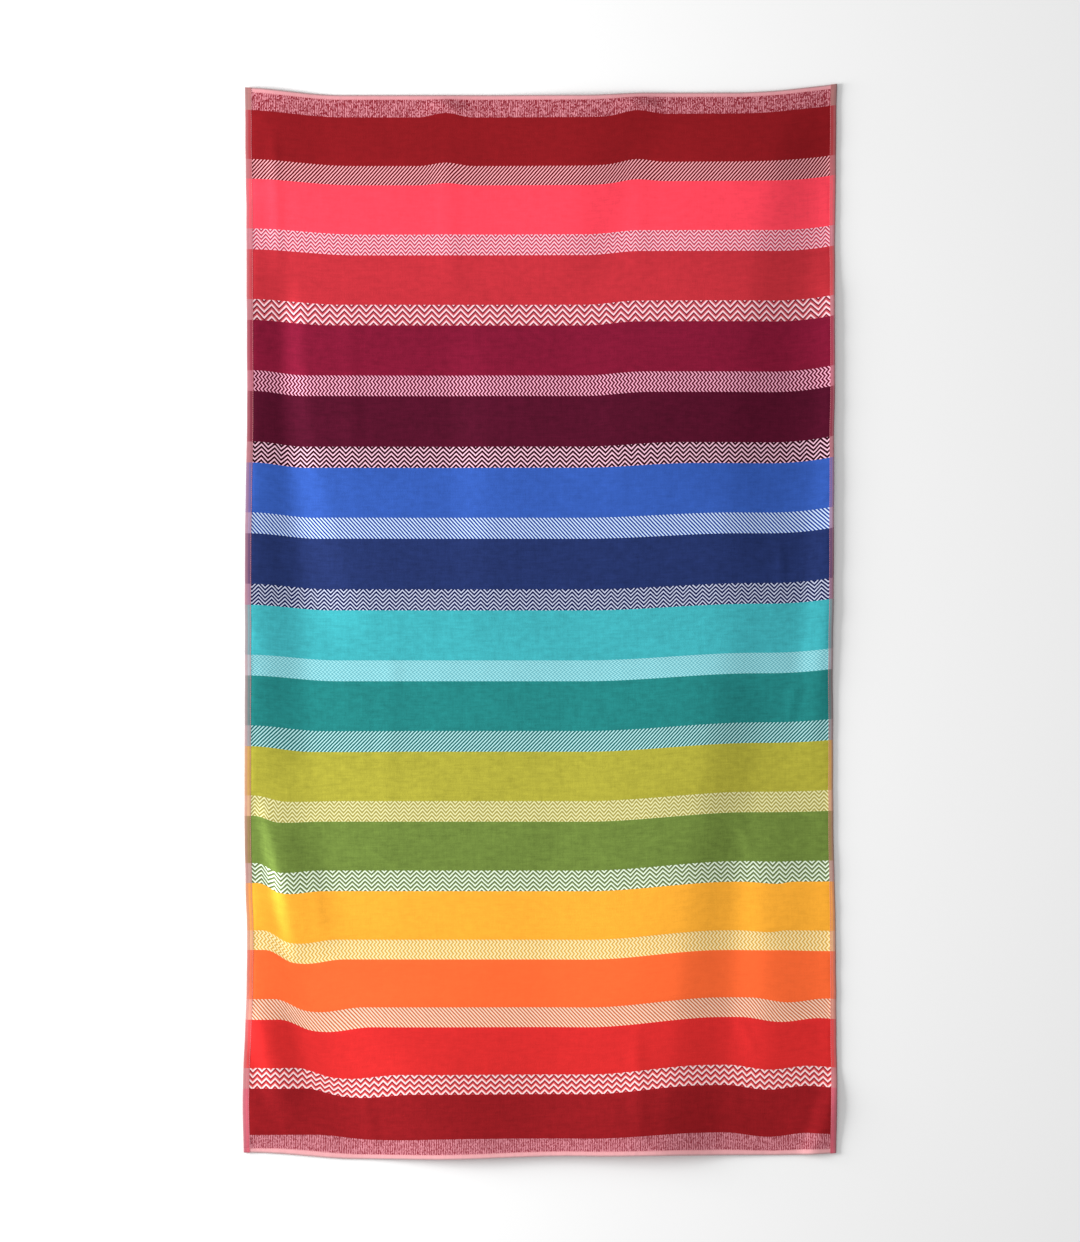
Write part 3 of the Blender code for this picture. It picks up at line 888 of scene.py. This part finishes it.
def flat_weave_group():
    tree, given, result = surface_group("flat_weave", ("Unevenness", "NodeSocketFloat", 0.12))
    parts = wire(tree, "ShaderNodeSeparateXYZ", {0: given["Place"]}).outputs
    diagonal = maths(tree, "MULTIPLY", maths(tree, "ADD", parts[0], parts[1]), 1 / (HEM_RIB_PITCH * MM))
    rib = maths(tree, "PINGPONG", diagonal, 0.5)
    yarn = stretched_noise(tree, given["Place"], HEM_YARN_SCALE, detail=3.0)
    tone = maths(tree, "ADD", centred(tree, yarn), maths(tree, "SUBTRACT", rib, HEM_RIB_MIDDLE))
    factor = maths(tree, "MULTIPLY_ADD", tone, maths(tree, "MULTIPLY", given["Unevenness"], 2.0), 1.0)
    tree.links.new(shaded(tree, given["Colour"], factor), result["Colour"])
    tree.links.new(maths(tree, "MULTIPLY_ADD", yarn, HEM_YARN_HEIGHT, rib), result["Height"])
    return tree


def terry_loop_group():
    tree, given, result = surface_group("terry_loops", ("Loop size", "NodeSocketFloat", 2.2))
    scale = maths(tree, "DIVIDE", 1 / MM, given["Loop size"])
    values = {"Vector": given["Place"], "Scale": scale, "Randomness": LOOP_SPREAD}
    cell = wire(tree, "ShaderNodeTexVoronoi", values, feature="F1").outputs["Distance"]
    loop = maths(tree, "SUBTRACT", 1.0, cell)
    patches = stretched_noise(tree, given["Place"], PATCH_SCALE, detail=3.0)
    # painted shade: the colour is darkest between the loops and lightest on their tops
    factor = maths(tree, "MULTIPLY_ADD", loop, PAINTED_LIGHT_ON_LOOPS, PAINTED_SHADE_BETWEEN_LOOPS)
    factor = maths(tree, "MULTIPLY_ADD", patches, PATCH_BRIGHTENS, factor)
    tree.links.new(shaded(tree, given["Colour"], factor), result["Colour"])
    tree.links.new(loop, result["Height"])
    return tree


flat_weave, terry_loops = flat_weave_group(), terry_loop_group()
print("groups:", ", ".join(group.name for group in bpy.data.node_groups))

# %% [markdown]
# ## Materials
#
# Every material is a matt Principled shader with a little sheen, which is how fine cotton fibres catch light from the
# side. Values that are the same all over are set on the shader itself; colours and bumps come from the groups.

# %% The cotton shader
ROUGHNESS = 0.95
GLOSS = 0.05
SHEEN = 0.03
SHEEN_ROUGHNESS = 0.45
BUMP_STRENGTH = 0.6


def cotton(name):
    """A material with the cotton shader and the cloth map; returns it, its nodes, its shader and the map's socket."""
    material = bpy.data.materials.new(name)
    material.use_nodes = True
    tree = material.node_tree
    shader = tree.nodes["Principled BSDF"]
    shader.inputs["Roughness"].default_value = ROUGHNESS
    shader.inputs["Specular IOR Level"].default_value = GLOSS
    shader.inputs["Sheen Weight"].default_value = SHEEN
    shader.inputs["Sheen Roughness"].default_value = SHEEN_ROUGHNESS
    place = wire(tree, "ShaderNodeUVMap", uv_map="cloth").outputs[0]
    return material, tree, shader, place


def finish_cotton(tree, shader, colour, height, depth):
    """Gives the shader its colour, and a bump that is so many millimetres deep."""
    tree.links.new(colour, shader.inputs["Base Color"])
    bump = wire(tree, "ShaderNodeBump", {"Height": height, "Distance": depth * MM, "Strength": BUMP_STRENGTH})
    tree.links.new(bump.outputs[0], shader.inputs["Normal"])


# %% [markdown]
# The velour, the hems and the back change colour from stripe to stripe, so one material each is enough: it reads the
# colour from an attribute that the faces carry, "cloth_colour". The attribute's alpha isn't used for see-through here.
# It carries how far the nap shows, which only the velour reads.

# %% Velour, hem and back
CARRIED = "cloth_colour"
BUMP_DEPTH = {"velour": 0.5, "hem_weave": 0.25, "terry_back": 1.2, "patterned": 0.45, "border": 0.6, "thread": 0.15}


def carried_material(name, group):
    material, tree, shader, place = cotton(name)
    face = wire(tree, "ShaderNodeAttribute", attribute_name=CARRIED).outputs
    weave = wire(tree, "ShaderNodeGroup", {"Colour": face["Color"], "Place": place}, node_tree=group)
    if group == velour_nap:
        tree.links.new(face["Alpha"], weave.inputs["Showing"])
        tree.links.new(weave.outputs["Roughness"], shader.inputs["Roughness"])
    finish_cotton(tree, shader, weave.outputs["Colour"], weave.outputs["Height"], BUMP_DEPTH[name])
    return material


materials = {
    "velour": carried_material("velour", velour_nap),
    "hem": carried_material("hem_weave", flat_weave),
    "back": carried_material("terry_back", terry_loops),
}
print("made", ", ".join(material.name for material in materials.values()))

# %% [markdown]
# Each patterned stripe gets its own row of numbers for the zigzag group, measured on the real stripes: a twill has no
# swing and a slant, a chevron has a swing of about half its repeat, which makes its lines lie near 45 degrees, and a
# herringbone stands upright. Between the pale and the dark yarn a little ground shows, which is mostly velour.

# %% Patterned stripes
PATTERN_INPUTS = ("Pitch", "Swing", "Repeat", "Slant", "Upright", "Light share", "Dark share")
PATTERNS = {
    # stripe above: the values of those inputs, in millimetres and shares
    "dark_red": (6.08, 0.0, 40.0, 0.9, 1.0, 0.4, 0.46),
    "coral": (6.68, 8.7, 15.4, 0.0, 0.0, 0.4, 0.4),
    "rose": (10.0, 12.9, 24.9, 0.0, 0.0, 0.36, 0.3),
    "maroon": (6.28, 4.7, 10.2, 0.0, 1.0, 0.4, 0.48),
    "plum": (7.57, 10.9, 22.2, 0.0, 0.0, 0.37, 0.52),
    "blue": (6.36, 0.0, 40.0, -0.94, 1.0, 0.42, 0.46),
    "navy": (6.7, 11.2, 22.3, 0.0, 0.0, 0.36, 0.54),
    "turquoise": (6.4, 6.4, 6.7, 0.0, 1.0, 0.5, 0.5),
    "teal": (6.37, 0.0, 40.0, 0.98, 1.0, 0.42, 0.5),
    "lime": (6.66, 8.8, 15.9, 0.0, 0.0, 0.44, 0.48),
    "green": (7.4, 10.7, 22.1, 0.0, 0.0, 0.42, 0.34),
    "amber": (6.26, 4.7, 9.8, 0.0, 1.0, 0.5, 0.42),
    "orange": (6.2, 0.0, 40.0, -0.96, 1.0, 0.48, 0.44),
    "red": (9.4, 7.4, 15.2, 0.0, 0.0, 0.38, 0.3),
}
YARN_SHADE = 0.1
YARN_SHADE_SCALE = (210.0, 210.0)
VELOUR_IN_GROUND = 0.8


def uneven(tree, colour, place):
    """A yarn's colour, a little lighter and darker from place to place."""
    shade = centred(tree, stretched_noise(tree, place, YARN_SHADE_SCALE, detail=3.0))
    return shaded(tree, colour, maths(tree, "MULTIPLY_ADD", shade, 2 * YARN_SHADE, 1.0))


def mixed(tree, factor, first, second):
    return wire(tree, "ShaderNodeMix", {"Factor": factor, "A": first, "B": second}, data_type="RGBA").outputs["Result"]


def patterned_material(name, velour, light, dark):
    material, tree, shader, place = cotton(name + "_patterned")
    values = {"Place": place, **dict(zip(PATTERN_INPUTS, PATTERNS[name]))}
    yarn = wire(tree, "ShaderNodeGroup", values, node_tree=zigzag_yarn).outputs
    ground = linear(blended(light, velour, VELOUR_IN_GROUND))
    colour = mixed(tree, yarn["Shadow"], ground, linear(channels(dark)))
    colour = mixed(tree, yarn["Figure"], colour, linear(channels(light)))
    finish_cotton(tree, shader, uneven(tree, colour, place), yarn["Height"], BUMP_DEPTH["patterned"])
    return material


for name, _, patterned, velour, light, dark, _ in STRIPES:
    if patterned:
        materials[name] = patterned_material(name, velour, light, dark)
print(len(PATTERNS), "patterned materials")

# %% [markdown]
# The two end borders share one material recipe. The one at the foot shows more pale yarn, in stricter order.

# %% End borders
BORDERS = {
    # border: light share, order
    "top_border": (0.33, 0.35),
    "foot_border": (0.46, 0.45),
}


def border_material(name, light_share, order):
    material, tree, shader, place = cotton(name)
    values = {"Place": place, "Light share": light_share, "Order": order}
    ribs = wire(tree, "ShaderNodeGroup", values, node_tree=speckled_ribs).outputs
    colour = mixed(tree, ribs["Figure"], linear(channels(BORDER_DARK)), linear(channels(BORDER_LIGHT)))
    finish_cotton(tree, shader, uneven(tree, colour, place), ribs["Height"], BUMP_DEPTH["border"])
    return material


for name, (light_share, order) in BORDERS.items():
    materials[name] = border_material(name, light_share, order)
for material in materials.values():
    cloth.data.materials.append(material)
print(len(materials), "materials on the cloth")

# %% [markdown]
# A side hem is flat weave in which the towel's pink warp crosses the stripe's own weft, so its colour is a mix of both;
# this is what gives the hem its changing greys, tans and mauves. Its lip and outer part are dulled with a painted grey
# shade where the hem rolls over, and it takes more of the stripe's colour towards its seam. The end hems, and the side
# hems near both ends, keep to the warp's pink.

# %% Colours of the stripes and hems
HEM_PARTS = {
    # part of a side hem: share of the stripe's colour, share of the grey painted shade
    "lip": (0.45, 0.6),
    "outer": (0.45, 0.25),
    "inner": (0.6, 0.0),
}
NAP_UNSET = 1.0


def strip_colour(strip):
    for name, _, _, velour, light, dark, _ in STRIPES:
        if name == strip["name"]:
            return channels(velour) if strip["kind"] == "velour" else blended(light, dark, 0.5)
    return blended(BORDER_LIGHT, BORDER_DARK, 0.5)


def shown_nap(strip):
    return {row[0]: row[-1] for row in STRIPES}.get(strip["name"], NAP_UNSET)


def hem_colour(strip, part):
    if strip["kind"] == "hem":
        # an end hem's lip takes the greyer colour, painted shade at the hem's rolled edge
        return channels(END_HEMS[strip["name"]][part != "inner"])
    stripe, painted_shade = HEM_PARTS[part]
    colour = channels(HEM_WARP) * (1 - stripe) + strip_colour(strip) * stripe
    if strip["name"] in SIDE_HEM_ENDS:
        colour = channels(SIDE_HEM_ENDS[strip["name"]])
    # painted shade: the grey dulls the hem's lip and outer part
    return colour * (1 - painted_shade) + channels(PAINTED_HEM_SHADE) * painted_shade


PLAIN_COLOURS = [(*linear(strip_colour(strip))[:3], shown_nap(strip)) for strip in STRIPS]
HEM_COLOURS = [{part: linear(hem_colour(strip, part)) for part in HEM_PARTS} for strip in STRIPS]
blue = [strip["name"] for strip in STRIPS].index("blue")
print("side hem beside the blue stripe:", np.round(HEM_COLOURS[blue]["inner"][:3], 2))

# %% [markdown]
# Each face now gets its material and its carried colour from its place on the flat cloth: the middle of its corners
# says which strip it is in and how far from an edge, and which layer its corners belong to says whether it is on the
# front, the back or the rim between them.

# %% Give every face its strip
LIP = 1.6
OUTER_SIDE_HEM = 6.0
OUTER_END_HEM = 2.6


def read_corners(mesh):
    """How many corners each face has, where its corners start, and the point at every corner."""
    counts, starts = np.empty(len(mesh.polygons), int), np.empty(len(mesh.polygons), int)
    mesh.polygons.foreach_get("loop_total", counts)
    mesh.polygons.foreach_get("loop_start", starts)
    corner = np.empty(len(mesh.loops), int)
    mesh.loops.foreach_get("vertex_index", corner)
    return counts, starts, corner


def hem_part(side_inset, end_inset):
    if side_inset < SIDE_HEM:
        return "lip" if side_inset < LIP else "outer" if side_inset < OUTER_SIDE_HEM else "inner"
    return "outer" if end_inset < OUTER_END_HEM else "inner"


def face_strips(sheet):
    mesh = sheet.data
    slot = {name: i for i, name in enumerate(materials)}
    counts, starts, corner = read_corners(mesh)
    across = np.add.reduceat(flat_across[corner], starts) / counts
    along = np.add.reduceat(flat_along[corner], starts) / counts
    uppers = np.add.reduceat(is_upper[corner].astype(int), starts)
    numbers = np.minimum(np.searchsorted([strip["end"] for strip in STRIPS], along), len(STRIPS) - 1)
    side_inset = FLAT_WIDTH / 2 - np.abs(across)
    end_inset = np.minimum(along, FLAT_LENGTH - along)
    index = np.empty(len(mesh.polygons), int)
    colours = np.ones((len(mesh.loops), 4))
    for face, number in enumerate(numbers):
        strip, colour = STRIPS[number], PLAIN_COLOURS[number]
        if side_inset[face] < SIDE_HEM or strip["kind"] == "hem" or 0 < uppers[face] < counts[face]:
            kind = "hem"
            if side_inset[face] < SIDE_HEM:
                number = min(max(number, 1), len(STRIPS) - 2)
            colour = HEM_COLOURS[number][hem_part(side_inset[face], end_inset[face])]
        elif uppers[face] == 0:
            kind = "back"
        else:
            kind = "velour" if strip["kind"] == "velour" else strip["name"]
        index[face] = slot[kind]
        colours[starts[face] : starts[face] + counts[face]] = colour
    mesh.polygons.foreach_set("material_index", index)
    attribute = mesh.color_attributes.new(name=CARRIED, type="FLOAT_COLOR", domain="CORNER")
    attribute.data.foreach_set("color", colours.ravel())
    return index


face_slots = face_strips(cloth)
cloth.data.shade_smooth()
print("faces in each material:", np.bincount(face_slots).tolist())

# %% [markdown]
# ## Sewing
#
# The hems are held down by a lockstitch, which shows as a row of short, rounded stitches that sink into the cloth at
# both ends. One stitch is modelled from a small sphere, turned to lie along X, drawn out and flattened. It needs only a
# few faces, because there are over a thousand of it.

# %% One stitch
STITCH_LENGTH = 2.9
STITCH_WIDTH = 0.62
STITCH_SIDES = 6
STITCH_RINGS = 5


def one_stitch():
    bpy.ops.object.select_all(action="DESELECT")
    bpy.ops.mesh.primitive_uv_sphere_add(segments=STITCH_SIDES, ring_count=STITCH_RINGS, radius=0.5)
    stitch = bpy.context.object
    bpy.ops.object.mode_set(mode="EDIT")
    bpy.ops.mesh.select_all(action="SELECT")
    bpy.ops.transform.rotate(value=np.pi / 2, orient_axis="Y", center_override=(0.0, 0.0, 0.0))
    bpy.ops.transform.resize(value=(STITCH_LENGTH, STITCH_WIDTH, STITCH_WIDTH), center_override=(0.0, 0.0, 0.0))
    bpy.ops.object.mode_set(mode="OBJECT")
    points = np.array([vert.co[:] for vert in stitch.data.vertices])
    faces = [tuple(face.vertices) for face in stitch.data.polygons]
    bpy.data.objects.remove(stitch, do_unlink=True)
    return points, faces


stitch_points, stitch_faces = one_stitch()
print("one stitch has", len(stitch_faces), "faces and is", np.ptp(stitch_points, axis=0).round(2), "mm")

# %% [markdown]
# Copies of its points are set along the four seams and joined into a single mesh. A modifier could repeat it too, but
# a stitch has to follow the folds, and `laid` knows exactly where the cloth is.

# %% Seams along all four hems
STITCH_PITCH = 3.6
STITCH_PROUD = 0.12
SEAM_FROM_HEM_EDGE = 0.75
SEAM_END = 2.0


def seam_places():
    """(across, along) of every stitch, and which way its seam runs."""
    side = FLAT_WIDTH / 2 - SIDE_HEM + SEAM_FROM_HEM_EDGE
    down = np.arange(SEAM_END, FLAT_LENGTH - SEAM_END, STITCH_PITCH)
    over = np.arange(-side + SEAM_END, side - SEAM_END, STITCH_PITCH)
    seams = [(np.full_like(down, edge), down, (0.0, 1.0)) for edge in (-side, side)]
    for edge in (TOP_HEM - SEAM_FROM_HEM_EDGE, FLAT_LENGTH - FOOT_HEM + SEAM_FROM_HEM_EDGE):
        seams.append((over, np.full_like(over, edge), (1.0, 0.0)))
    return seams


def surface(across, along):
    """The cloth's upper face at places on it, in Blender's metres."""
    x, y, z = laid(across, along)
    thickness, _ = cloth_section(across, along)
    return np.stack([x, y, z + thickness], axis=1) * MM + SHIFT


def unit(ways):
    return ways / np.linalg.norm(ways, axis=1)[:, None]


def sew(name):
    verts, polygons = [], []
    for across, along, (step_across, step_along) in seam_places():
        centre = surface(across, along)
        behind, before = (surface(across + way * step_across, along + way * step_along) for way in (-1, 1))
        ahead = unit(before - behind)
        aside = unit(np.cross((0.0, 0.0, 1.0), ahead))
        up = np.cross(ahead, aside)
        for i in range(len(centre)):
            base = len(verts)
            axes = np.stack([ahead[i], aside[i], up[i]])
            verts += list(stitch_points * MM @ axes + centre[i] + up[i] * STITCH_PROUD * MM)
            polygons += [tuple(base + corner for corner in face) for face in stitch_faces]
    mesh = bpy.data.meshes.new(name)
    mesh.from_pydata(verts, [], polygons)
    mesh.shade_smooth()
    threads = bpy.data.objects.new(name, mesh)
    bpy.context.collection.objects.link(threads)
    return threads


seams = sew("hem_stitches")
print("stitches:", len(seams.data.polygons) // len(stitch_faces))

# %% [markdown]
# The thread is polyester, a touch glossier than the cotton and dyed a dusty pink to go with the warp. Its bump is a
# fine fibre, read from Object coordinates because the thread has no cloth map.

# %% Thread material
THREAD = "dd8b93"
THREAD_ROUGHNESS = 0.6
THREAD_GLOSS = 0.3
FIBRE_SCALE = (1800.0, 1800.0)
DYE_SCALE = (35.0, 35.0)
DYE_SPREAD = 0.3
PALEST_DYE = 0.85


def thread_material():
    material = bpy.data.materials.new("hem_thread")
    material.use_nodes = True
    tree = material.node_tree
    shader = tree.nodes["Principled BSDF"]
    shader.inputs["Roughness"].default_value = THREAD_ROUGHNESS
    shader.inputs["Specular IOR Level"].default_value = THREAD_GLOSS
    place = wire(tree, "ShaderNodeTexCoord").outputs["Object"]
    dye = maths(tree, "MULTIPLY_ADD", stretched_noise(tree, place, DYE_SCALE), DYE_SPREAD, PALEST_DYE)
    tree.links.new(shaded(tree, linear(channels(THREAD))[:3], dye), shader.inputs["Base Color"])
    values = {"Height": stretched_noise(tree, place, FIBRE_SCALE), "Distance": BUMP_DEPTH["thread"] * MM}
    tree.links.new(wire(tree, "ShaderNodeBump", values).outputs[0], shader.inputs["Normal"])
    return material


seams.data.materials.append(thread_material())
print("thread material:", seams.data.materials[0].name)

# %% [markdown]
# ## Floor, light and camera
#
# The floor is a wide pale plane just under the cloth, so that the cloth's underside doesn't flicker through it. Pale
# surroundings light everything a little from all sides.

# %% Floor and surroundings
FLOOR_SIZE = 40.0
FLOOR_DROP = 0.15
FLOOR_WHITE = (0.96, 0.96, 0.96, 1.0)
FLOOR_ROUGHNESS = 0.9
FLOOR_GLOSS = 0.1
SURROUNDINGS = 0.56


def make_floor():
    bpy.ops.mesh.primitive_plane_add(size=FLOOR_SIZE, location=(0.0, 0.0, -FLOOR_DROP * MM))
    floor = bpy.context.object
    floor.name = "floor"
    material = bpy.data.materials.new("pale_floor")
    material.use_nodes = True
    shader = material.node_tree.nodes["Principled BSDF"]
    shader.inputs["Base Color"].default_value = FLOOR_WHITE
    shader.inputs["Roughness"].default_value = FLOOR_ROUGHNESS
    shader.inputs["Specular IOR Level"].default_value = FLOOR_GLOSS
    floor.data.materials.append(material)
    return floor


def make_surroundings(strength):
    world = bpy.data.worlds.new("studio")
    world.use_nodes = True
    background = world.node_tree.nodes["Background"]
    background.inputs["Color"].default_value = (1.0, 1.0, 1.0, 1.0)
    background.inputs["Strength"].default_value = strength
    bpy.context.scene.world = world


floor = make_floor()
make_surroundings(SURROUNDINGS)
print("floor", FLOOR_DROP, "mm under the cloth")

# %% [markdown]
# One large soft lamp stands low on the towel's left, so that flanks which face it brighten and the others darken. A
# higher lamp would light both flanks alike, and the folds would hardly show.

# %% Soft light from the left
KEY_DISTANCE = 3.7
KEY_ELEVATION = np.radians(15.0)
KEY_TURN = np.radians(4.0)
KEY_SIZE = 1.9
KEY_SHARE = 0.6


def make_key_light(share):
    """A large soft lamp; its share is of the light that plain white surroundings would give."""
    flat_way = np.cos(KEY_ELEVATION)
    way = Vector((-flat_way * np.cos(KEY_TURN), flat_way * np.sin(KEY_TURN), np.sin(KEY_ELEVATION)))
    lamp = bpy.data.lights.new("key", "AREA")
    lamp.size = KEY_SIZE
    lamp.energy = share * (np.pi * KEY_DISTANCE) ** 2 / np.sin(KEY_ELEVATION)
    key = bpy.data.objects.new("key", lamp)
    key.location = way * KEY_DISTANCE
    key.rotation_euler = (-way).to_track_quat("-Z", "Y").to_euler()
    bpy.context.collection.objects.link(key)
    return lamp


key_lamp = make_key_light(KEY_SHARE)
print("key lamp of", round(key_lamp.energy), "watts")

# %% [markdown]
# The camera looks straight down from far off with a long lens, so the towel's edges stay parallel. Its height makes the
# picture 1242 pixels tall at 1.69 mm a pixel. It stands a hair towards the top hem, because the box that the cloth is
# centred in isn't quite even about the towel's middle.

# %% Camera straight above
PICTURE_PIXELS = 1242
MM_PER_PIXEL = 1.69
LENS = 100.0
SENSOR = 36.0
CAMERA_UP = 0.7
FARTHEST = 100.0


def make_camera():
    data = bpy.data.cameras.new("camera")
    data.lens, data.sensor_width = LENS, SENSOR
    data.clip_end = FARTHEST
    camera = bpy.data.objects.new("camera", data)
    camera.location = (0.0, CAMERA_UP * MM, PICTURE_PIXELS * MM_PER_PIXEL * MM * LENS / SENSOR)
    bpy.context.collection.objects.link(camera)
    bpy.context.scene.camera = camera
    bpy.context.scene.view_settings.view_transform = "Standard"
    return camera


camera = make_camera()
print("camera", round(camera.location.z, 2), "m up")

# %% [markdown]
# ## Tie it to the frame
#
# The towel has no joints, so its one body is called root. The cloth stands for the solid, the thread goes with the
# cloth, and the floor is only a stage.

# %% Ride, replace and declare
for piece in (cloth, seams):
    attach(piece, "root")
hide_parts("towel")
print("declared", cloth.name, "and", seams.name)
